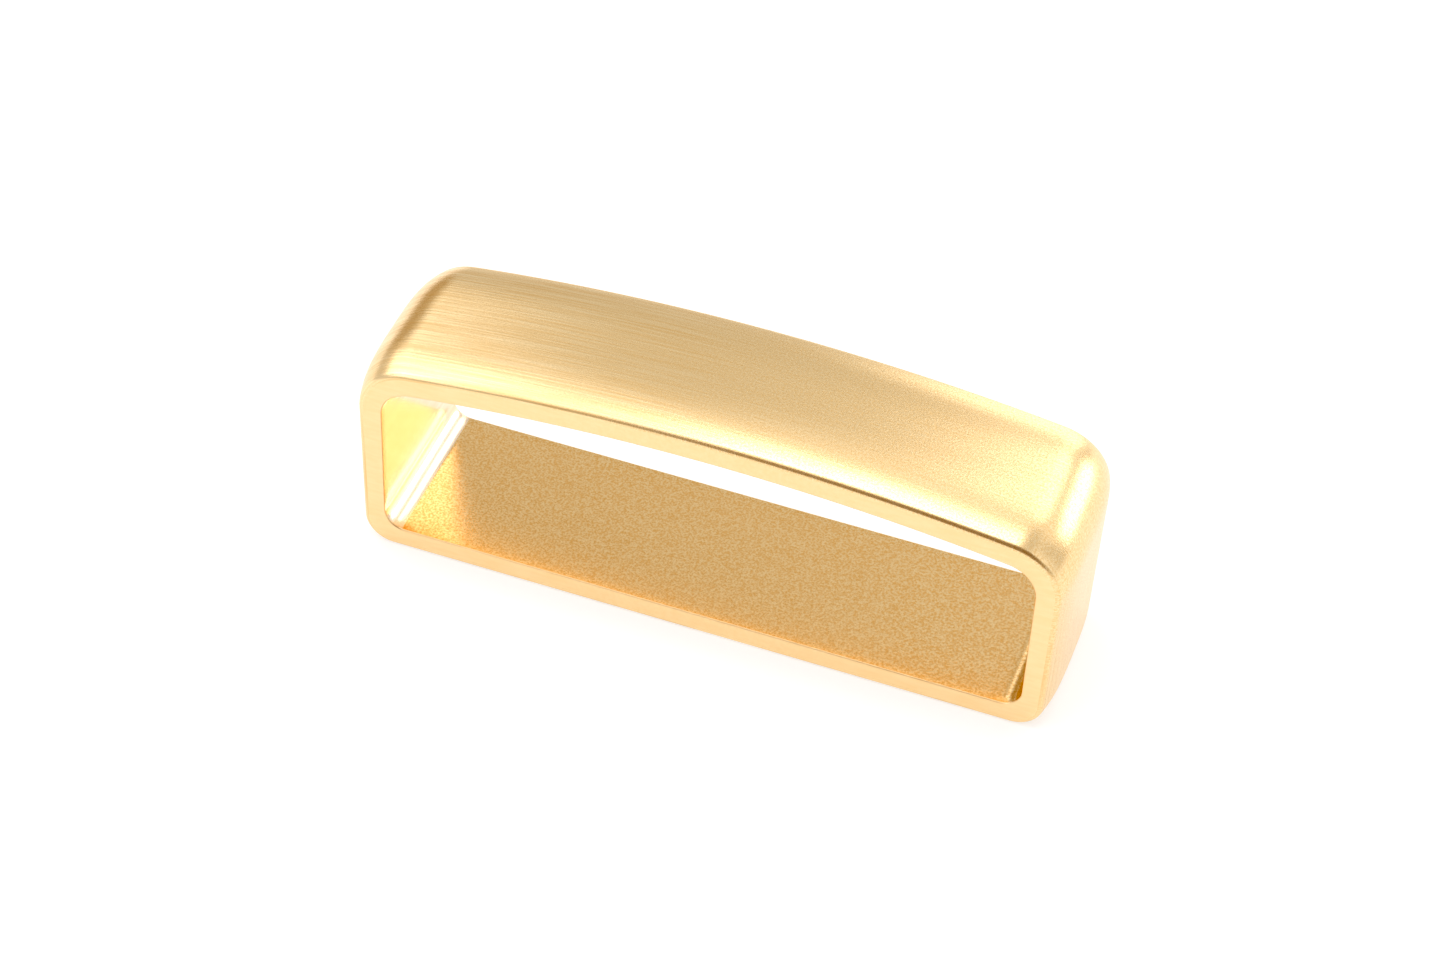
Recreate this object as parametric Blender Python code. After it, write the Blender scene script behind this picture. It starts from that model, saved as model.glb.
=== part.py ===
"""Belt keeper: a closed metal loop that slides on a strap and holds its free end.

The loop is one cast piece. Its strap opening has a flat floor, upright sides and an arched
roof, and runs straight through along Y. The outer skin is crowned: the roof and the two sides
swell from the rims towards the middle of the depth, while the underside stays flat.

Units are metres, +Z is up, +X is the long way. The origin is on the underside, in the middle.
"""

from dataclasses import dataclass
from math import atan2, cos, pi, radians, sin, sqrt

import bmesh
import bpy

# Strap opening
STRAP_WIDTH = 0.0400
OPENING_HEIGHT = 0.01245
OPENING_SAG = 0.0016
OPENING_FLOOR_RADIUS = 0.00125
OPENING_ROOF_RADIUS = 0.0021
OPENING_EDGE_BREAK = 0.0001

# Wall around it, measured at the rims
FLOOR_THICKNESS = 0.0014
ROOF_THICKNESS = 0.00145
SIDE_THICKNESS = 0.00125
SKIN_SAG = 0.00175
SKIN_FLOOR_RADIUS = 0.0017
SKIN_ROOF_RADIUS = 0.0036
SIDE_LEAN = radians(0.85)

# Depth along the strap, and the crown of the skin between the rims
DEPTH = 0.0107
RIM_RADIUS = 0.00025
SIDE_SWELL = 0.0005
ROOF_SWELL = 0.0006
SWELL_POWER = 3.4

# Facets
FLOOR_CORNER_STEPS = 6
ROOF_CORNER_STEPS = 9
ARCH_STEPS = 24
RIM_STEPS = 2
SWELL_STEPS = 12

GOLD_PLATE = (0.80, 0.55, 0.22, 1.0)
GOLD_ROUGHNESS = 0.32


@dataclass(frozen=True)
class Section:
    """A closed outline in the XZ plane: flat floor, upright sides, arched roof, round corners."""

    half_width: float
    floor: float
    roof: float
    sag: float
    floor_radius: float
    roof_radius: float

    def outline(self, inset=0.0):
        """Points (x, z) counter-clockwise seen from -Y, moved inwards by inset."""
        arch_radius = (self.half_width**2 + self.sag**2) / (2 * self.sag)
        arch_centre = self.roof - arch_radius
        corner_x = self.half_width - self.roof_radius
        corner_reach = sqrt((arch_radius - self.roof_radius) ** 2 - corner_x**2)
        corner_z = arch_centre + corner_reach
        arch_start = atan2(corner_reach, corner_x)
        low_x = self.half_width - self.floor_radius
        low_z = self.floor + self.floor_radius
        low_radius = self.floor_radius - inset
        high_radius = self.roof_radius - inset
        points = arc(low_x, low_z, low_radius, -pi / 2, 0, FLOOR_CORNER_STEPS)
        points += arc(corner_x, corner_z, high_radius, 0, arch_start, ROOF_CORNER_STEPS)
        points += arc(0, arch_centre, arch_radius - inset, arch_start, pi - arch_start, ARCH_STEPS)[1:-1]
        points += arc(-corner_x, corner_z, high_radius, pi - arch_start, pi, ROOF_CORNER_STEPS)
        points += arc(-low_x, low_z, low_radius, pi, 3 * pi / 2, FLOOR_CORNER_STEPS)
        return points


OPENING = Section(
    half_width=STRAP_WIDTH / 2,
    floor=FLOOR_THICKNESS,
    roof=FLOOR_THICKNESS + OPENING_HEIGHT,
    sag=OPENING_SAG,
    floor_radius=OPENING_FLOOR_RADIUS,
    roof_radius=OPENING_ROOF_RADIUS,
)
SKIN = Section(
    half_width=STRAP_WIDTH / 2 + SIDE_THICKNESS,
    floor=0.0,
    roof=FLOOR_THICKNESS + OPENING_HEIGHT + ROOF_THICKNESS,
    sag=SKIN_SAG,
    floor_radius=SKIN_FLOOR_RADIUS,
    roof_radius=SKIN_ROOF_RADIUS,
)


def arc(centre_x, centre_z, radius, start, end, steps):
    """Points on a circular arc, both ends included."""
    turns = [start + (end - start) * step / steps for step in range(steps + 1)]
    return [(centre_x + radius * cos(turn), centre_z + radius * sin(turn)) for turn in turns]


def skin_outline(inset, swell):
    """The skin's outline at one station: leaned sides, then swollen by a share from 0 to 1."""
    widen = 1 + swell * SIDE_SWELL / SKIN.half_width
    raise_roof = 1 + swell * ROOF_SWELL / SKIN.roof
    lean = sin(SIDE_LEAN) / SKIN.half_width
    return [(x * (1 + lean * z) * widen, z * raise_roof) for x, z in SKIN.outline(inset)]


def skin_stations():
    """Outlines of the skin from the front rim to the back rim, each with its Y."""
    turns = [pi / 2 * step / RIM_STEPS for step in range(RIM_STEPS)]
    rounding = [(RIM_RADIUS * (1 - cos(turn)), RIM_RADIUS * (1 - sin(turn))) for turn in turns]
    front = [(-DEPTH / 2 + advance, skin_outline(inset, 0)) for advance, inset in rounding]
    reach = DEPTH / 2 - RIM_RADIUS
    middle = []
    for step in range(SWELL_STEPS + 1):
        share = -cos(pi * step / SWELL_STEPS)
        middle.append((share * reach, skin_outline(0, 1 - abs(share) ** SWELL_POWER)))
    back = [(-y, outline) for y, outline in reversed(front)]
    return front + middle + back


def opening_stations():
    """Outlines of the strap opening from the back rim to the front rim, each with its Y."""
    flared = OPENING.outline(-OPENING_EDGE_BREAK)
    straight = OPENING.outline()
    inside = DEPTH / 2 - OPENING_EDGE_BREAK
    return [(DEPTH / 2, flared), (inside, straight), (-inside, straight), (-DEPTH / 2, flared)]


def join_rings(mesh, ring, following):
    """Quads between two rings of the same number of points."""
    for index, corner in enumerate(ring):
        mesh.faces.new((ring[index - 1], corner, following[index], following[index - 1]))


def build_loop():
    """The whole loop as one closed mesh: skin, back rim, opening and front rim."""
    mesh = bmesh.new()
    rings = []
    for y, outline in skin_stations() + opening_stations():
        rings.append([mesh.verts.new((x, y, z)) for x, z in outline])
    for index, ring in enumerate(rings):
        join_rings(mesh, rings[index - 1], ring)
    bmesh.ops.recalc_face_normals(mesh, faces=mesh.faces)
    return mesh


def gold_plate():
    """Satin gold plate over the casting."""
    material = bpy.data.materials.new("satin_gold_plate")
    material.use_nodes = True
    shader = material.node_tree.nodes["Principled BSDF"]
    shader.inputs["Base Color"].default_value = GOLD_PLATE
    shader.inputs["Metallic"].default_value = 1.0
    shader.inputs["Roughness"].default_value = GOLD_ROUGHNESS
    return material


def add_keeper_loop():
    """Add the loop to the scene as one named object."""
    mesh = build_loop()
    data = bpy.data.meshes.new("keeper_loop")
    mesh.to_mesh(data)
    mesh.free()
    data.materials.append(gold_plate())
    data.shade_smooth()
    data.set_sharp_from_angle(angle=radians(30))
    loop = bpy.data.objects.new("keeper_loop", data)
    bpy.context.scene.collection.objects.link(loop)
    return loop


def main():
    for leftover in list(bpy.data.objects):
        bpy.data.objects.remove(leftover, do_unlink=True)
    add_keeper_loop()


main()
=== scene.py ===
"""Studio scene of a satin gold strap keeper loop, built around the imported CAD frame.

The loop is one casting: a floor, two sides and an arched roof round a strap opening. Here it is
modelled again with fine curves and dressed with its four finishes: the brushed skin, the lapped
rims, the blasted floor of the opening, and its drawn walls and roof.
"""

import logging
from dataclasses import dataclass, field
from enum import Enum
from math import atan2, cos, pi, radians, sin, sqrt

import bpy
from mathutils import Matrix, Vector

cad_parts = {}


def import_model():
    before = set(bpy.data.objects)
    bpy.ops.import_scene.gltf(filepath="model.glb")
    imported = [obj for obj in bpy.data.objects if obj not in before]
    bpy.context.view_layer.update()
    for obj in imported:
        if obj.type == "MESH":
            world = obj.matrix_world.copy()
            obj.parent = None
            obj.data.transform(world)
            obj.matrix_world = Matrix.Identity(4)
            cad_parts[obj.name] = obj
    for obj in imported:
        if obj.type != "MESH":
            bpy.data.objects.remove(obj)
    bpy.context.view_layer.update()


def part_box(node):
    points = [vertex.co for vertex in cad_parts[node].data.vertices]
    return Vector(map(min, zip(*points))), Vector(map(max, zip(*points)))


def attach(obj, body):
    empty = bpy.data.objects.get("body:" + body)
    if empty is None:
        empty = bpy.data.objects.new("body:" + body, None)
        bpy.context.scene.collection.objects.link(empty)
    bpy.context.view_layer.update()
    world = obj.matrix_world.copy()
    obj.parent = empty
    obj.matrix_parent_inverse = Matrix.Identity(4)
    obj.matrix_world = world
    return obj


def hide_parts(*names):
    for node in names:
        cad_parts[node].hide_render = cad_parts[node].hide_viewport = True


LOG = logging.getLogger("keeper_scene")
MILLIMETRE = 0.001
CAD_NODE = "keeper_loop"
OUTLINE_MAP = "round_the_outline"
# Two places closer than this are the same place.
SAME_PLACE = 0.001 * MILLIMETRE
# A face belongs to a rim, to a broken edge or to an upright wall if its normal leans this far.
RIM_LEAN = 0.995
EDGE_LEAN = 0.01
WALL_LEAN = 0.15


class Face(Enum):
    """The finishes of the casting, in the order of its material slots."""

    SKIN = 0
    RIM = 1
    FLOOR = 2
    WALL = 3


def linear(hex_colour: str) -> tuple[float, float, float, float]:
    """Turn an sRGB hex colour into linear values.

    Args:
        hex_colour: Six hex digits, such as "F2C77A".

    Returns:
        Red, green, blue and an alpha of 1.
    """
    channels = [int(hex_colour[start : start + 2], 16) / 255 for start in (0, 2, 4)]
    curve = [c / 12.92 if c <= 0.04045 else ((c + 0.055) / 1.055) ** 2.4 for c in channels]
    return curve[0], curve[1], curve[2], 1.0


def add_node(
    tree: bpy.types.NodeTree,
    kind: str,
    settings: dict[str, object] | None = None,
    values: dict[str | int, object] | None = None,
    links: dict[str | int, bpy.types.NodeSocket] | None = None,
) -> bpy.types.Node:
    """Add a shader node with its settings, input values and links.

    Args:
        tree: The node tree that gets the node.
        kind: The node's type name.
        settings: Attributes of the node.
        values: Default values of inputs, by input name or number.
        links: Output sockets that feed inputs, by input name or number.

    Returns:
        The new node.
    """
    node = tree.nodes.new(kind)
    for name, value in (settings or {}).items():
        setattr(node, name, value)
    for name, value in (values or {}).items():
        node.inputs[name].default_value = value
    for name, socket in (links or {}).items():
        tree.links.new(socket, node.inputs[name])
    return node


def select_only(piece: bpy.types.Object) -> None:
    """Deselect everything, then make one object selected and active.

    Args:
        piece: The object.
    """
    bpy.ops.object.select_all(action="DESELECT")
    piece.select_set(True)
    bpy.context.view_layer.objects.active = piece


@dataclass(frozen=True)
class GoldPlate:
    """Gold-coloured plate over a casting, textured by the tool that finished it.

    Strokes are a noise drawn out along the tool's way, and grain is a fine even one. Round one
    place along X the grain is at its strongest and the strokes are worn away. The texture reaches
    its light or deep colour where it swings by as much as its softness.
    """

    name: str
    light: str
    deep: str
    roughness: float
    dulling: float
    stroke_mm: tuple[float, float, float]
    stroke_relief_mm: float
    grain_mm: float
    grain_relief_mm: float
    softness: float = 0.2
    worn_at_mm: float = 0.0
    worn_reach_mm: tuple[float, float] = (3.0, 12.0)
    grain_left: float = 0.2
    strokes_left: float = 0.3
    follows_outline: bool = False
    noise_detail: float = 3.0
    noise_roughness: float = 0.6

    def material(self) -> bpy.types.Material:
        """Build the finish: one texture that shades the colour, the gloss and the relief.

        Returns:
            The material.
        """
        material = bpy.data.materials.new(self.name)
        material.use_nodes = True
        tree = material.node_tree
        place = self.place(tree)
        worn = self.wear(tree, place)
        strokes = self.marks(tree, place, worn, self.stroke_mm, (1.0, self.strokes_left))
        grain = self.marks(tree, place, worn, (self.grain_mm,) * 3, (self.grain_left, 1.0))
        texture = add_node(tree, "ShaderNodeMath", {"operation": "ADD"}, links={0: strokes, 1: grain})
        shade = add_node(
            tree,
            "ShaderNodeMapRange",
            settings={"interpolation_type": "SMOOTHSTEP"},
            values={"From Min": -self.softness, "From Max": self.softness},
            links={"Value": texture.outputs["Value"]},
        )
        colour = add_node(
            tree,
            "ShaderNodeMix",
            settings={"data_type": "RGBA"},
            values={6: linear(self.deep), 7: linear(self.light)},
            links={0: shade.outputs["Result"]},
        )
        gloss = add_node(
            tree,
            "ShaderNodeMapRange",
            values={"To Min": self.roughness + self.dulling, "To Max": self.roughness - self.dulling},
            links={"Value": shade.outputs["Result"]},
        )
        lift = add_node(
            tree,
            "ShaderNodeMath",
            settings={"operation": "MULTIPLY"},
            values={1: self.stroke_relief_mm},
            links={0: strokes},
        )
        height = add_node(
            tree,
            "ShaderNodeMath",
            settings={"operation": "MULTIPLY_ADD"},
            values={1: self.grain_relief_mm},
            links={0: grain, 2: lift.outputs["Value"]},
        )
        relief = add_node(
            tree,
            "ShaderNodeBump",
            values={"Strength": 1.0, "Distance": MILLIMETRE},
            links={"Height": height.outputs["Value"]},
        )
        shader = tree.nodes["Principled BSDF"]
        shader.inputs["Metallic"].default_value = 1.0
        tree.links.new(colour.outputs[2], shader.inputs["Base Color"])
        tree.links.new(gloss.outputs["Result"], shader.inputs["Roughness"])
        tree.links.new(relief.outputs["Normal"], shader.inputs["Normal"])
        return material

    def place(self, tree: bpy.types.NodeTree) -> bpy.types.NodeSocket:
        """Where a point lies, in metres: round the outline, or in the casting's own frame.

        Args:
            tree: The material's node tree.

        Returns:
            The coordinates.
        """
        if self.follows_outline:
            return add_node(tree, "ShaderNodeUVMap", {"uv_map": OUTLINE_MAP}).outputs["UV"]
        return add_node(tree, "ShaderNodeTexCoord").outputs["Object"]

    def wear(self, tree: bpy.types.NodeTree, place: bpy.types.NodeSocket) -> bpy.types.NodeSocket:
        """How worn the surface is, from 1 at the worn place to 0 beyond its reach.

        Args:
            tree: The material's node tree.
            place: The coordinates.

        Returns:
            The wear.
        """
        axes = add_node(tree, "ShaderNodeSeparateXYZ", links={"Vector": place})
        aside = add_node(
            tree,
            "ShaderNodeMath",
            settings={"operation": "SUBTRACT"},
            values={1: self.worn_at_mm * MILLIMETRE},
            links={0: axes.outputs["X"]},
        )
        away = add_node(
            tree,
            "ShaderNodeMath",
            settings={"operation": "ABSOLUTE"},
            links={0: aside.outputs["Value"]},
        )
        near, far = (reach * MILLIMETRE for reach in self.worn_reach_mm)
        worn = add_node(
            tree,
            "ShaderNodeMapRange",
            settings={"interpolation_type": "SMOOTHSTEP"},
            values={"From Min": near, "From Max": far, "To Min": 1.0, "To Max": 0.0},
            links={"Value": away.outputs["Value"]},
        )
        return worn.outputs["Result"]

    def marks(
        self,
        tree: bpy.types.NodeTree,
        place: bpy.types.NodeSocket,
        worn: bpy.types.NodeSocket,
        cell_mm: tuple[float, float, float],
        share: tuple[float, float],
    ) -> bpy.types.NodeSocket:
        """Marks of a tool: a noise centred on zero, which wear brings out or takes away.

        Args:
            tree: The material's node tree.
            place: The coordinates.
            worn: How worn the surface is.
            cell_mm: Sizes of a mark along the three axes.
            share: Strength of the marks where nothing is worn, and where all is.

        Returns:
            The marks.
        """
        scaled = add_node(
            tree,
            "ShaderNodeMapping",
            values={"Scale": [1 / (size * MILLIMETRE) for size in cell_mm]},
            links={"Vector": place},
        )
        noise = add_node(
            tree,
            "ShaderNodeTexNoise",
            values={"Scale": 1.0, "Detail": self.noise_detail, "Roughness": self.noise_roughness},
            links={"Vector": scaled.outputs["Vector"]},
        )
        centred = add_node(
            tree,
            "ShaderNodeMath",
            settings={"operation": "SUBTRACT"},
            values={1: 0.5},
            links={0: noise.outputs["Fac"]},
        )
        strength = add_node(
            tree,
            "ShaderNodeMapRange",
            values={"To Min": share[0], "To Max": share[1]},
            links={"Value": worn},
        )
        marks = add_node(
            tree,
            "ShaderNodeMath",
            settings={"operation": "MULTIPLY"},
            links={0: centred.outputs["Value"], 1: strength.outputs["Result"]},
        )
        return marks.outputs["Value"]


# Gold plate, brushed on a belt round the outline: fine parallel lines and a soft silky sheen. The
# lines fade towards the right, where a fine grain takes over. Real lines are about 0.05 mm wide and
# real grain is finer still; both are drawn 0.13 mm wide, so that they show.
BRUSHED_SKIN = GoldPlate(
    name="brushed_satin_gold_plate",
    light="FFE2B2",
    deep="EEC890",
    roughness=0.27,
    dulling=0.03,
    stroke_mm=(8.0, 0.13, 1.0),
    stroke_relief_mm=0.010,
    grain_mm=0.13,
    grain_relief_mm=0.006,
    worn_at_mm=13.0,
    worn_reach_mm=(8.0, 25.0),
    follows_outline=True,
)
# Gold plate, lapped flat on fine paper: an even, pale band with hardly any grain.
LAPPED_RIM = GoldPlate(
    name="lapped_gold_plate",
    light="FFDFAE",
    deep="FCDAA6",
    roughness=0.34,
    dulling=0.01,
    stroke_mm=(2.0, 0.3, 0.3),
    stroke_relief_mm=0.001,
    grain_mm=0.3,
    grain_relief_mm=0.001,
)
# Gold plate, blasted with fine beads: a sandy sparkle of small pits, coarser towards the right end.
# Real pits are about 0.05 mm wide; they are drawn 0.13 to 0.16 mm wide, so that they show.
BLASTED_FLOOR = GoldPlate(
    name="bead_blasted_gold_plate",
    light="FFDDA8",
    deep="EEBC7C",
    roughness=0.22,
    dulling=0.02,
    softness=0.13,
    stroke_mm=(0.13, 0.13, 0.13),
    stroke_relief_mm=0.002,
    grain_mm=0.16,
    grain_relief_mm=0.006,
    worn_at_mm=21.0,
    worn_reach_mm=(2.0, 24.0),
    grain_left=0.1,
    strokes_left=0.5,
)
# Thin gold plate, drawn by the core as it left the casting: smooth, with faint lines along the
# strap's way. Its paler tint is painted highlight: it stands in for the walls' whitened reflections.
DRAWN_WALL_PAINTED_HIGHLIGHT = GoldPlate(
    name="drawn_gold_plate_painted_highlight",
    light="FFE8CC",
    deep="FFE0BE",
    roughness=0.2,
    dulling=0.03,
    stroke_mm=(0.16, 6.0, 0.16),
    stroke_relief_mm=0.007,
    grain_mm=0.2,
    grain_relief_mm=0.002,
)


@dataclass(frozen=True)
class Section:
    """A closed outline in the XZ plane: flat floor, upright sides, arched roof, round corners."""

    half_width: float
    floor: float
    roof: float
    sag: float
    floor_radius: float
    roof_radius: float
    floor_steps: int = 20
    side_steps: int = 10
    floor_corner_steps: int = 12
    roof_corner_steps: int = 20
    arch_steps: int = 40

    @property
    def arch_radius(self) -> float:
        """Radius of the roof's arch, from its span and its sag."""
        return (self.half_width**2 + self.sag**2) / (2 * self.sag)

    @property
    def arch_z(self) -> float:
        """Height of the arch's centre, far below the loop."""
        return self.roof - self.arch_radius

    @property
    def rise(self) -> float:
        """Angle of the line from the arch's centre to the right roof corner's centre."""
        corner_x, corner_z = self.roof_corner
        return atan2(corner_z - self.arch_z, corner_x)

    @property
    def low_corner(self) -> tuple[float, float]:
        """Centre (x, z) of the right floor corner."""
        return self.half_width - self.floor_radius, self.floor + self.floor_radius

    @property
    def roof_corner(self) -> tuple[float, float]:
        """Centre of the right roof corner, which touches the side and the arch.

        Returns:
            Its x and its z.
        """
        corner_x = self.half_width - self.roof_radius
        reach = sqrt((self.arch_radius - self.roof_radius) ** 2 - corner_x**2)
        return corner_x, self.arch_z + reach

    def draw_half(self, name: str, y: float) -> bpy.types.Object:
        """Draw the right half of the outline, from the middle of the floor up to the crown.

        A single point starts in the middle of the floor. It is drawn along the straight runs by
        extrusion and round the corners and the arch by spin.

        Args:
            name: Name of the new object.
            y: Where the outline's plane stands.

        Returns:
            The object, in edit mode with the whole outline selected.
        """
        corner_x, corner_z = self.roof_corner
        low_x, low_z = self.low_corner
        bpy.ops.object.select_all(action="DESELECT")
        bpy.ops.mesh.primitive_plane_add(size=self.floor_radius, location=(0, y, self.floor))
        outline = bpy.context.object
        outline.name = name
        bpy.ops.object.transform_apply(location=True)
        bpy.ops.object.mode_set(mode="EDIT")
        bpy.ops.mesh.select_mode(type="VERT")
        bpy.ops.mesh.merge(type="CENTER")
        self.run((low_x, 0), self.floor_steps)
        self.turn((low_x, y, low_z), pi / 2, self.floor_corner_steps)
        self.run((0, corner_z - low_z), self.side_steps)
        self.turn((corner_x, y, corner_z), self.rise, self.roof_corner_steps)
        self.turn((0, y, self.arch_z), pi / 2 - self.rise, self.arch_steps)
        bpy.ops.mesh.select_all(action="SELECT")
        return outline

    def around(self, x: float, z: float) -> float:
        """Length along the right half of the outline, from the crown down to a point on it.

        Args:
            x: The point's distance from the middle.
            z: Its height.

        Returns:
            The length.
        """
        corner_x, corner_z = self.roof_corner
        low_x, low_z = self.low_corner
        corner_start = self.arch_radius * (pi / 2 - self.rise)
        side_start = corner_start + self.roof_radius * self.rise
        low_start = side_start + corner_z - low_z
        if z > corner_z:
            turn = atan2(z - self.arch_z, x)
            if turn > self.rise:
                return self.arch_radius * (pi / 2 - turn)
            return corner_start + self.roof_radius * (self.rise - atan2(z - corner_z, x - corner_x))
        if z > low_z:
            return side_start + corner_z - z
        if x > low_x:
            return low_start + self.floor_radius * atan2(low_z - z, x - low_x)
        return low_start + self.floor_radius * pi / 2 + low_x - x

    @staticmethod
    def run(way: tuple[float, float], steps: int) -> None:
        """Draw the selected point along a straight line.

        Args:
            way: The line's x and z lengths.
            steps: Number of edges.
        """
        move = (way[0] / steps, 0, way[1] / steps)
        for _ in range(steps):
            bpy.ops.mesh.extrude_region_move(TRANSFORM_OT_translate={"value": move})

    @staticmethod
    def turn(centre: tuple[float, float, float], angle: float, steps: int) -> None:
        """Draw the selected point round an arc, from +X towards +Z.

        Args:
            centre: The arc's centre.
            angle: How far it turns.
            steps: Number of edges.
        """
        bpy.ops.mesh.spin(steps=steps, angle=angle, center=centre, axis=(0, 1, 0))


@dataclass
class KeeperLoop:
    """The casting: skin, two rims and the strap opening, with its finishes."""

    depth: float
    height: float
    strap_width: float = 40.0 * MILLIMETRE
    side_thickness: float = 1.25 * MILLIMETRE
    floor_thickness: float = 1.4 * MILLIMETRE
    opening_height: float = 12.45 * MILLIMETRE
    opening_sag: float = 1.6 * MILLIMETRE
    opening_floor_radius: float = 1.25 * MILLIMETRE
    opening_roof_radius: float = 2.1 * MILLIMETRE
    skin_sag: float = 1.75 * MILLIMETRE
    skin_floor_radius: float = 1.7 * MILLIMETRE
    skin_roof_radius: float = 3.6 * MILLIMETRE
    side_swell: float = 0.5 * MILLIMETRE
    roof_swell: float = 0.6 * MILLIMETRE
    side_lean: float = radians(0.85)
    swell_power: float = 3.4
    swell_steps: int = 30
    opening_steps: int = 8
    rim_radius: float = 0.25 * MILLIMETRE
    rim_steps: int = 6
    edge_break: float = 0.1 * MILLIMETRE
    edge_steps: int = 3
    outside_slack: float = 0.3 * MILLIMETRE
    normal_weight: int = 80
    finishes: dict[Face, GoldPlate] = field(
        default_factory=lambda: {
            Face.SKIN: BRUSHED_SKIN,
            Face.RIM: LAPPED_RIM,
            Face.FLOOR: BLASTED_FLOOR,
            Face.WALL: DRAWN_WALL_PAINTED_HIGHLIGHT,
        }
    )

    def skin_section(self) -> Section:
        """Outline of the skin at the rims, before the sides lean.

        Returns:
            The section.
        """
        return Section(
            half_width=self.strap_width / 2 + self.side_thickness,
            floor=0.0,
            roof=self.height - self.roof_swell,
            sag=self.skin_sag,
            floor_radius=self.skin_floor_radius,
            roof_radius=self.skin_roof_radius,
        )

    def opening_section(self) -> Section:
        """Outline of the strap opening.

        Returns:
            The section.
        """
        return Section(
            half_width=self.strap_width / 2,
            floor=self.floor_thickness,
            roof=self.floor_thickness + self.opening_height,
            sag=self.opening_sag,
            floor_radius=self.opening_floor_radius,
            roof_radius=self.opening_roof_radius,
        )

    def swell(self, share: float) -> tuple[float, float]:
        """How much wider and higher the skin is at one place between the rims.

        Args:
            share: Place along the depth, from -1 at the front rim to 1 at the back rim.

        Returns:
            Factors for x and for z.
        """
        crown = 1 - abs(share) ** self.swell_power
        wide = 1 + crown * self.side_swell / self.skin_section().half_width
        high = 1 + crown * self.roof_swell / self.skin_section().roof
        return wide, high

    def build_skin(self) -> bpy.types.Object:
        """Draw the skin's outline, lean its side and draw it back to the middle of the depth.

        The side is leaned point by point, because the shear operator needs a window. The first
        station lies a little further back than the rim's rounding will reach.

        Returns:
            The front right quarter of the skin.
        """
        skin = self.skin_section().draw_half("skin", -self.depth / 2)
        bpy.ops.object.mode_set(mode="OBJECT")
        lean = sin(self.side_lean) / self.skin_section().half_width
        for point in skin.data.vertices:
            point.co.x *= 1 + lean * point.co.z
        bpy.ops.object.mode_set(mode="EDIT")
        bpy.ops.mesh.select_all(action="SELECT")
        half_depth = self.depth / 2
        first = 1 - 1.3 * self.rim_radius / half_depth
        stations = [-1.0] + [first * (step / self.swell_steps - 1) for step in range(self.swell_steps + 1)]
        for last, share in zip(stations, stations[1:]):
            advance = (share - last) * half_depth
            before, after = self.swell(last), self.swell(share)
            bpy.ops.mesh.extrude_region_move(TRANSFORM_OT_translate={"value": (0, advance, 0)})
            bpy.ops.transform.resize(
                value=(after[0] / before[0], 1, after[1] / before[1]),
                center_override=(0, 0, 0),
            )
        bpy.ops.object.mode_set(mode="OBJECT")
        return skin

    def build_opening(self) -> bpy.types.Object:
        """Draw the strap opening's outline and draw it straight back to the middle of the depth.

        Returns:
            The front right quarter of the opening's wall.
        """
        opening = self.opening_section().draw_half("opening", -self.depth / 2)
        move = {"value": (0, self.depth / 2 / self.opening_steps, 0)}
        for _ in range(self.opening_steps):
            bpy.ops.mesh.extrude_region_move(TRANSFORM_OT_translate=move)
        bpy.ops.object.mode_set(mode="OBJECT")
        return opening

    def join(self, skin: bpy.types.Object, opening: bpy.types.Object) -> bpy.types.Object:
        """Join skin and opening, close them with the rim, and mirror the quarter twice.

        Args:
            skin: The outer quarter.
            opening: The inner quarter.

        Returns:
            The closed casting.
        """
        bpy.ops.object.select_all(action="DESELECT")
        opening.select_set(True)
        skin.select_set(True)
        bpy.context.view_layer.objects.active = skin
        bpy.ops.object.join()
        loop = bpy.context.object
        loop.name = "satin_keeper_loop"
        loop.data.name = loop.name
        self.clear_selection(loop)
        for edge in loop.data.edges:
            edge.select = self.on_rim(loop, edge)
        bpy.ops.object.mode_set(mode="EDIT")
        bpy.ops.mesh.bridge_edge_loops()
        bpy.ops.object.mode_set(mode="OBJECT")
        mirror = loop.modifiers.new("both_halves", "MIRROR")
        mirror.use_axis = (True, True, False)
        mirror.merge_threshold = SAME_PLACE
        bpy.ops.object.modifier_apply(modifier=mirror.name)
        bpy.ops.object.mode_set(mode="EDIT")
        bpy.ops.mesh.select_all(action="SELECT")
        bpy.ops.mesh.normals_make_consistent(inside=False)
        bpy.ops.object.mode_set(mode="OBJECT")
        return loop

    def on_rim(self, loop: bpy.types.Object, edge: bpy.types.MeshEdge) -> bool:
        """Whether both ends of an edge lie in the plane of a rim."""
        ends = [loop.data.vertices[end].co for end in edge.vertices]
        return all(abs(abs(end.y) - self.depth / 2) < SAME_PLACE for end in ends)

    @staticmethod
    def clear_selection(loop: bpy.types.Object) -> None:
        """Deselect every point, edge and face, and pick by edges from here on.

        Args:
            loop: The casting.
        """
        select_only(loop)
        bpy.ops.object.mode_set(mode="EDIT")
        bpy.ops.mesh.select_mode(type="EDGE")
        bpy.ops.mesh.select_all(action="DESELECT")
        bpy.ops.object.mode_set(mode="OBJECT")

    def round_rims(self, loop: bpy.types.Object) -> None:
        """Round the skin's rim edges, and break the opening's edges by a hair.

        Args:
            loop: The casting.
        """
        rounding = (True, self.rim_radius, self.rim_steps)
        breaking = (False, self.edge_break, self.edge_steps)
        for outer, width, steps in (rounding, breaking):
            self.clear_selection(loop)
            for edge in loop.data.edges:
                sides = {self.is_outer(loop.data.vertices[end].co) for end in edge.vertices}
                edge.select = self.on_rim(loop, edge) and sides == {outer}
            bpy.ops.object.mode_set(mode="EDIT")
            bpy.ops.mesh.bevel(offset=width, segments=steps, profile=0.5)
            bpy.ops.object.mode_set(mode="OBJECT")

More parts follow.
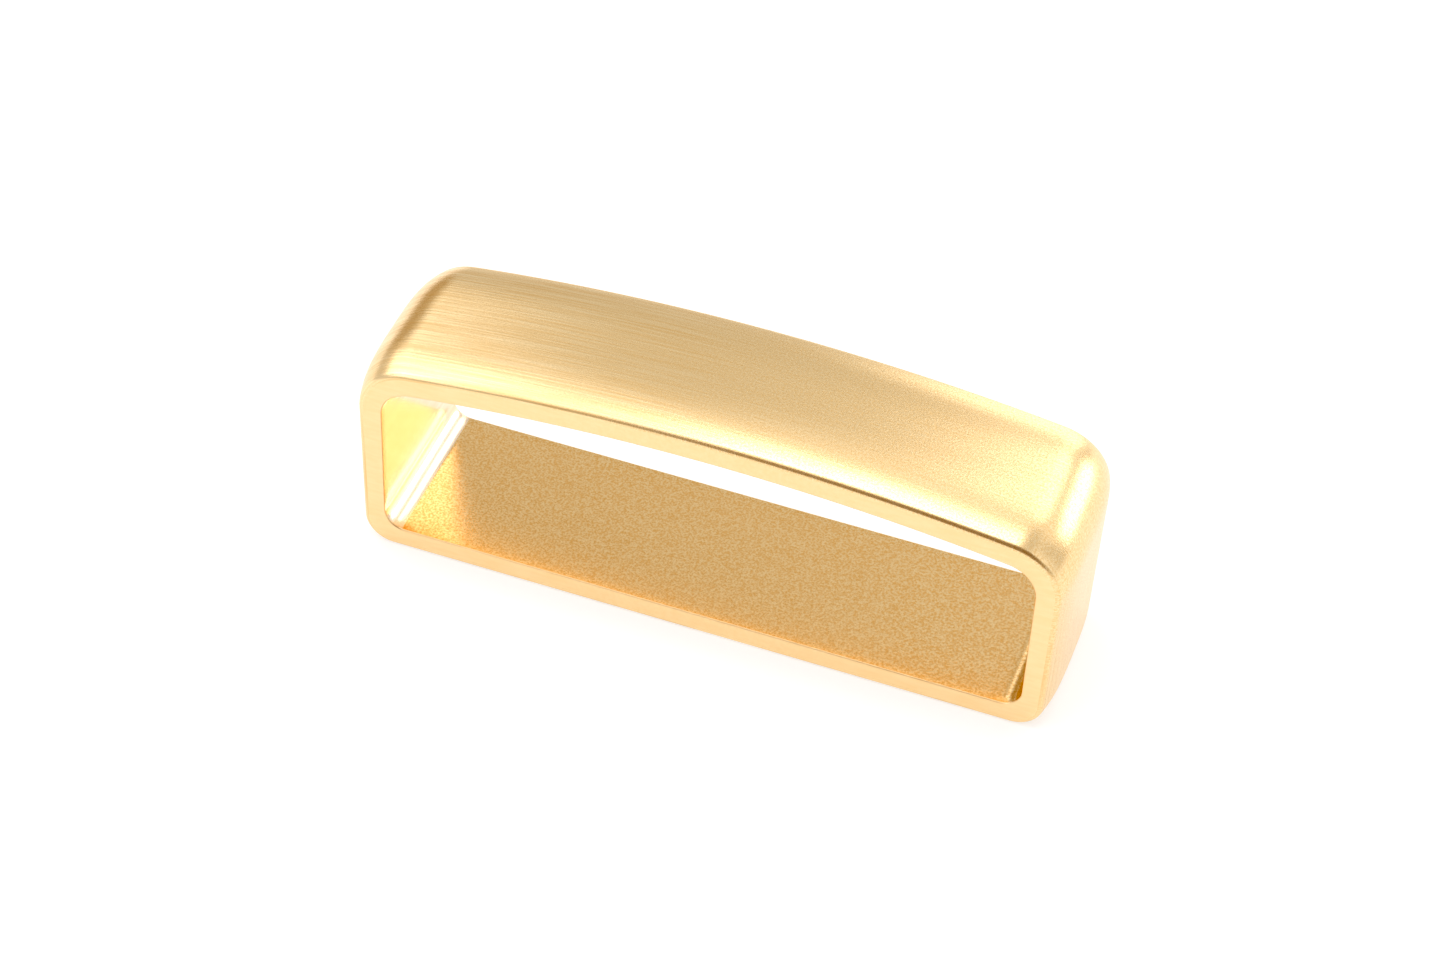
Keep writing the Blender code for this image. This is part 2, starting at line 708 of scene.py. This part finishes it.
    def is_outer(self, point: Vector) -> bool:
        """Whether a point belongs to the skin rather than to the opening.

        Args:
            point: The point.

        Returns:
            True if it lies clearly outside the opening's outline.
        """
        opening = self.opening_section()
        slack = self.outside_slack
        beside = abs(point.x) > opening.half_width + slack
        below = point.z < opening.floor - slack
        above = sqrt(point.x**2 + (point.z - opening.arch_z) ** 2) > opening.arch_radius + slack
        return beside or below or above or self.beyond_corner(point)

    def beyond_corner(self, point: Vector) -> bool:
        """Whether a point lies outside the round of one of the opening's roof corners.

        Args:
            point: The point.

        Returns:
            True if it does.
        """
        opening = self.opening_section()
        corner_x, corner_z = opening.roof_corner
        aside, up = abs(point.x) - corner_x, point.z - corner_z
        beyond = sqrt(aside**2 + up**2) > opening.roof_radius + self.outside_slack
        return aside > 0 and up > 0 and beyond

    def dress(self, loop: bpy.types.Object) -> None:
        """Give each face its finish, and smooth the shading.

        Args:
            loop: The casting.
        """
        for finish in self.finishes.values():
            loop.data.materials.append(finish.material())
        opening = self.opening_section()
        outline = self.skin_section()
        belt = loop.data.uv_layers.new(name=OUTLINE_MAP)
        for face in loop.data.polygons:
            face.material_index = self.face_kind(face.center, face.normal, opening).value
            side = 1 if face.center.x > 0 else -1
            for corner in face.loop_indices:
                point = loop.data.vertices[loop.data.loops[corner].vertex_index].co
                belt.data[corner].uv = (side * outline.around(abs(point.x), point.z), point.y)
        select_only(loop)
        bpy.ops.object.shade_smooth()
        weighted = loop.modifiers.new("even_shading", "WEIGHTED_NORMAL")
        weighted.weight = self.normal_weight
        bpy.ops.object.modifier_apply(modifier=weighted.name)

    def face_kind(self, centre: Vector, normal: Vector, opening: Section) -> Face:
        """Tell which finish a face carries. The blasting also covers the right floor corner.

        Args:
            centre: The face's middle.
            normal: Its direction.
            opening: The strap opening's outline.

        Returns:
            The finish.
        """
        if abs(normal.y) > RIM_LEAN:
            return Face.RIM
        if self.is_outer(centre):
            return Face.SKIN
        if abs(normal.y) > EDGE_LEAN:
            return Face.RIM
        above_floor = centre.z > opening.floor + opening.floor_radius
        left_corner = centre.x < 0 and abs(normal.x) > WALL_LEAN
        return Face.WALL if above_floor or left_corner else Face.FLOOR

    def build(self) -> bpy.types.Object:
        """Model and dress the casting, and put it on its body.

        Returns:
            The finished casting.
        """
        loop = self.join(self.build_skin(), self.build_opening())
        self.round_rims(loop)
        self.dress(loop)
        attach(loop, "root")
        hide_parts(CAD_NODE)
        return loop


def faced(target: Vector, azimuth: float, elevation: float, distance: float) -> Matrix:
    """Place and turn of a flat thing that faces a target.

    Args:
        target: The point that it faces.
        azimuth: Its direction from the target, from the front towards the right.
        elevation: Its direction's angle above the table.
        distance: How far away it stands.

    Returns:
        A matrix whose +Z points away from the target.
    """
    level = distance * cos(elevation)
    offset = Vector((level * sin(azimuth), -level * cos(azimuth), distance * sin(elevation)))
    return Matrix.Translation(target + offset) @ offset.to_track_quat("Z", "Y").to_matrix().to_4x4()


def flat_square(name: str, side: float, place: Matrix) -> bpy.types.Object:
    """Add a flat square.

    Args:
        name: Its name.
        side: Its side.
        place: Its place and turn, which go into its mesh.

    Returns:
        The square.
    """
    bpy.ops.object.select_all(action="DESELECT")
    bpy.ops.mesh.primitive_plane_add(size=side, location=(0, 0, 0))
    square = bpy.context.object
    square.name = name
    square.data.transform(place)
    return square


def matt(name: str, colour: str, glow: float, glow_colour: str = "FFFFFF") -> bpy.types.Material:
    """Make a matt material that may glow evenly.

    Args:
        name: Its name.
        colour: Its colour.
        glow: Strength of its own light.
        glow_colour: Colour of its own light.

    Returns:
        The material.
    """
    material = bpy.data.materials.new(name)
    material.use_nodes = True
    shader = material.node_tree.nodes["Principled BSDF"]
    shader.inputs["Base Color"].default_value = linear(colour)
    shader.inputs["Roughness"].default_value = 0.9
    shader.inputs["Specular IOR Level"].default_value = 0.0
    shader.inputs["Emission Color"].default_value = linear(glow_colour)
    shader.inputs["Emission Strength"].default_value = glow
    return material


@dataclass(frozen=True)
class Softbox:
    """One soft light of the studio: a square that faces the loop."""

    name: str
    azimuth: float
    elevation: float
    distance: float
    side: float
    radiance: float

    def build(self, target: Vector) -> bpy.types.Object:
        """Hang the light and aim it.

        Args:
            target: The point that it faces.

        Returns:
            The light.
        """
        lamp = bpy.data.lights.new(self.name, "AREA")
        lamp.shape = "SQUARE"
        lamp.size = self.side
        lamp.energy = self.radiance * pi * self.side**2
        light = bpy.data.objects.new(self.name, lamp)
        bpy.context.scene.collection.objects.link(light)
        light.matrix_world = faced(target, self.azimuth, self.elevation, self.distance)
        light.visible_camera = False
        return light


@dataclass(frozen=True)
class ShadeCard:
    """A dim card that keeps part of the room out of the gold's reflections.

    Dark flock swallows the light that falls on it, so the card shows its own faint glow only, as a
    soft brown shade in the gold.
    """

    name: str
    azimuth: float
    elevation: float
    distance: float
    side: float
    glow: float
    glow_colour: str

    def build(self, target: Vector) -> bpy.types.Object:
        """Stand the card up and face it to the loop.

        Args:
            target: The point that it faces.

        Returns:
            The card.
        """
        card = flat_square(self.name, self.side, faced(target, self.azimuth, self.elevation, self.distance))
        card.data.materials.append(matt("dark_flock", "202020", self.glow, self.glow_colour))
        card.visible_camera = False
        return card


@dataclass
class Studio:
    """A light table, plain air, soft lights, two dim cards and slightly deepened shadows."""

    target: Vector
    table_side: float = 6.0
    table_glow: float = 0.60
    air: float = 0.68
    black_level: float = 0.07
    softboxes: tuple[Softbox, ...] = (
        Softbox("key_softbox", radians(-60), radians(62), 0.60, 0.50, 0.65),
        Softbox("left_softbox", radians(-100), radians(42), 0.60, 0.40, 1.4),
        Softbox("overhead_softbox", radians(180), radians(86), 0.60, 0.27, 2.7),
        Softbox("low_back_softbox", radians(135), radians(13), 0.50, 0.20, 2.6),
        Softbox("back_softbox", radians(160), radians(43), 0.60, 0.24, 1.5),
        Softbox("back_right_softbox", radians(130), radians(38), 0.60, 0.26, 0.4),
        Softbox("right_softbox", radians(80), radians(40), 0.60, 0.35, 0.4),
        Softbox("low_right_softbox", radians(90), radians(12), 0.60, 0.30, 0.3),
        Softbox("low_rear_softbox", radians(172), radians(14), 0.50, 0.22, 1.3),
        Softbox("high_rear_softbox", radians(180), radians(62), 0.60, 0.25, 0.3),
        Softbox("front_left_softbox", radians(-45), radians(35), 0.60, 0.35, 0.85),
        Softbox("rear_left_softbox", radians(-137), radians(35), 0.60, 0.16, 0.8),
        Softbox("high_left_softbox", radians(-128), radians(60), 0.60, 0.26, 0.3),
    )
    cards: tuple[ShadeCard, ...] = (
        ShadeCard("lens_card", radians(15), radians(28), 0.45, 0.55, 0.32, "FFE6DC"),
        ShadeCard("rear_card", radians(-133), radians(9), 0.50, 0.22, 0.45, "FFE2BC"),
    )

    def build(self) -> None:
        """Lay the table, fill the air with light, hang the lights and set the tones."""
        # Opal acrylic, sanded and lit from below: an even white without reflections.
        table = flat_square("table", self.table_side, Matrix())
        table.data.materials.append(matt("opal_acrylic", "BCBCBC", self.table_glow))
        world = bpy.data.worlds.new("studio_air")
        bpy.context.scene.world = world
        world.use_nodes = True
        sky = world.node_tree.nodes["Background"]
        sky.inputs["Color"].default_value = linear("FFFFFF")
        sky.inputs["Strength"].default_value = self.air
        for softbox in self.softboxes:
            softbox.build(self.target)
        for card in self.cards:
            card.build(self.target)
        tones = bpy.context.scene.view_settings
        tones.view_transform = "Standard"
        tones.use_curve_mapping = True
        tones.curve_mapping.black_level = (self.black_level,) * 3
        tones.curve_mapping.update()


@dataclass(frozen=True)
class ProductCamera:
    """A long lens looking down on the loop from the front right."""

    azimuth: float = radians(17.69)
    elevation: float = radians(44.12)
    roll: float = radians(3.13)
    distance: float = 207.9 * MILLIMETRE
    lens_mm: float = 87.5
    sensor_mm: float = 36.0
    target: tuple[float, float, float] = (-0.57 * MILLIMETRE, 0.28 * MILLIMETRE, 7.11 * MILLIMETRE)

    def build(self) -> bpy.types.Object:
        """Place the camera and make it the scene's own.

        Returns:
            The camera.
        """
        level = cos(self.elevation)
        back = Vector((level * sin(self.azimuth), -level * cos(self.azimuth), sin(self.elevation)))
        right = Vector((cos(self.azimuth), sin(self.azimuth), 0))
        up = back.cross(right)
        turned_right = cos(self.roll) * right + sin(self.roll) * up
        turned_up = cos(self.roll) * up - sin(self.roll) * right
        place = Vector(self.target) + self.distance * back
        data = bpy.data.cameras.new("product_camera")
        data.lens = self.lens_mm
        data.sensor_width = self.sensor_mm
        data.clip_start = 0.01
        camera = bpy.data.objects.new("product_camera", data)
        bpy.context.scene.collection.objects.link(camera)
        turn = Matrix((turned_right, turned_up, back)).transposed().to_4x4()
        camera.matrix_world = Matrix.Translation(place) @ turn
        bpy.context.scene.camera = camera
        return camera


def main() -> None:
    """Load the frame, build the camera, the casting and the studio, and note the sizes."""
    logging.basicConfig(level=logging.INFO, format="%(message)s")
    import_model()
    low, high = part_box(CAD_NODE)
    size = high - low
    camera = ProductCamera()
    camera.build()
    LOG.info("camera: %.0f mm lens at %.0f mm", camera.lens_mm, camera.distance / MILLIMETRE)
    loop = KeeperLoop(depth=size.y, height=size.z).build()
    LOG.info("%s: %d faces", loop.name, len(loop.data.polygons))
    Studio(target=(low + high) / 2).build()
    LOG.info("studio: table and soft lights")


if __name__ == "__main__":
    main()
